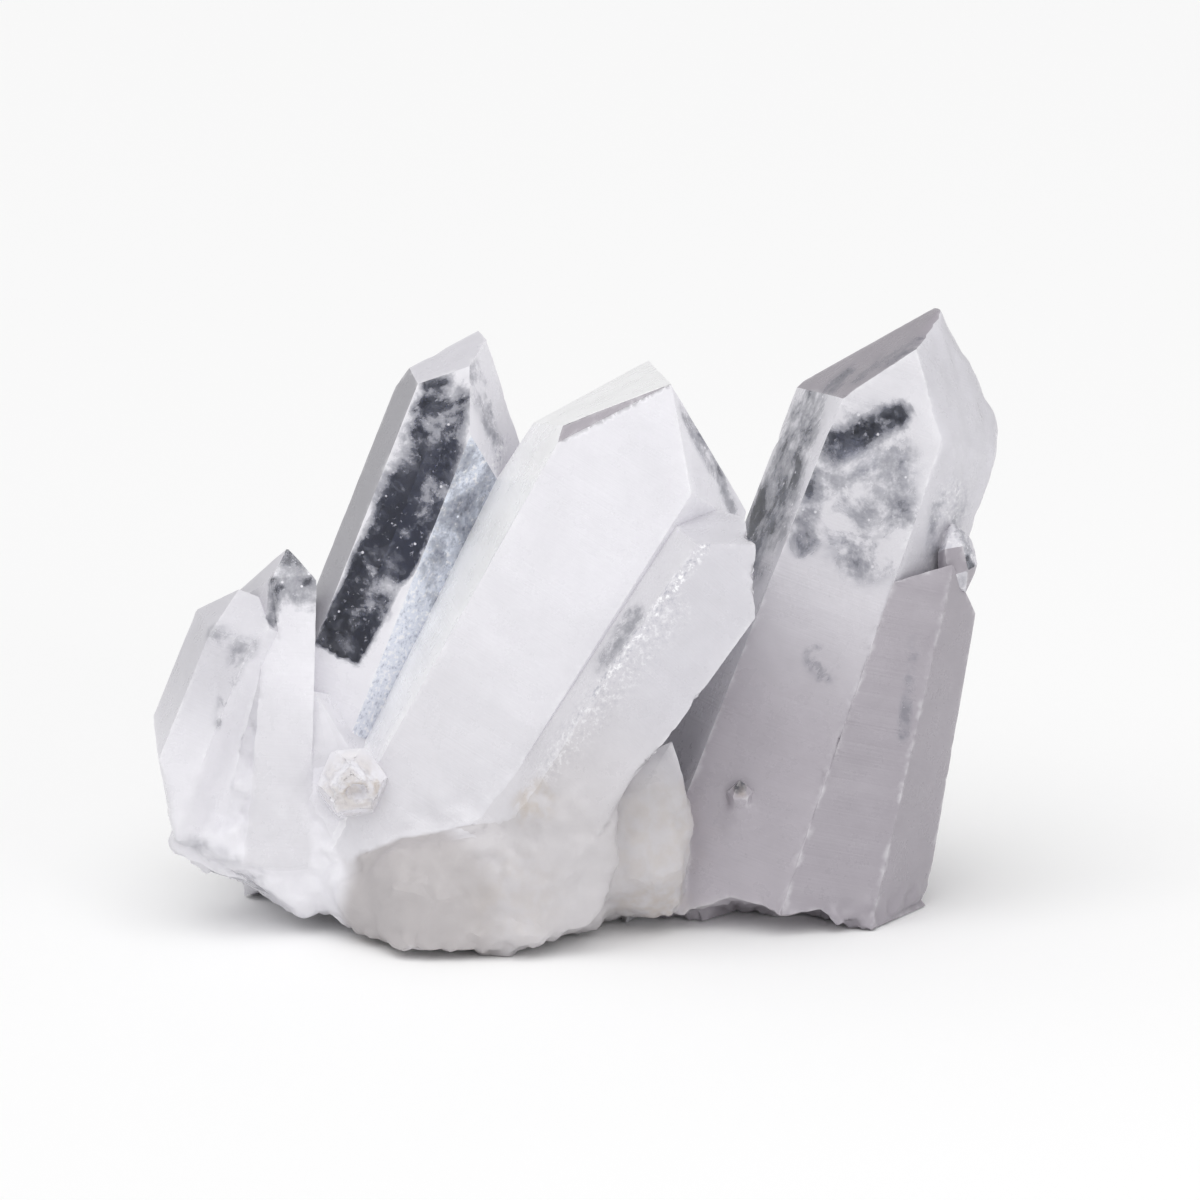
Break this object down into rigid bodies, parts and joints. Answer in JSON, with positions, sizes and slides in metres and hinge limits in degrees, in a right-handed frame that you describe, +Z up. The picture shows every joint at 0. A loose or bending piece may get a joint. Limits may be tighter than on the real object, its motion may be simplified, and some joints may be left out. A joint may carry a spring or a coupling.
{
  "type": "quartz crystal cluster",
  "caption": "Natural quartz crystal cluster: leaning six-sided clear and milky crystals with pointed ends, grown together on a lumpy rock base that rests on its flat underside.",
  "frame": {"origin": "centre of the bounding box, on the flat underside", "axes": "+X along the width, to the right for a viewer facing the crystals; -Y toward that viewer; +Z up"},
  "size_m": [0.11, 0.0616, 0.0778],
  "materials": {
    "quartz": "glossy"
  },
  "bodies": {
    "root": {"quartz_cluster": "quartz"}
  },
  "joints": []
}
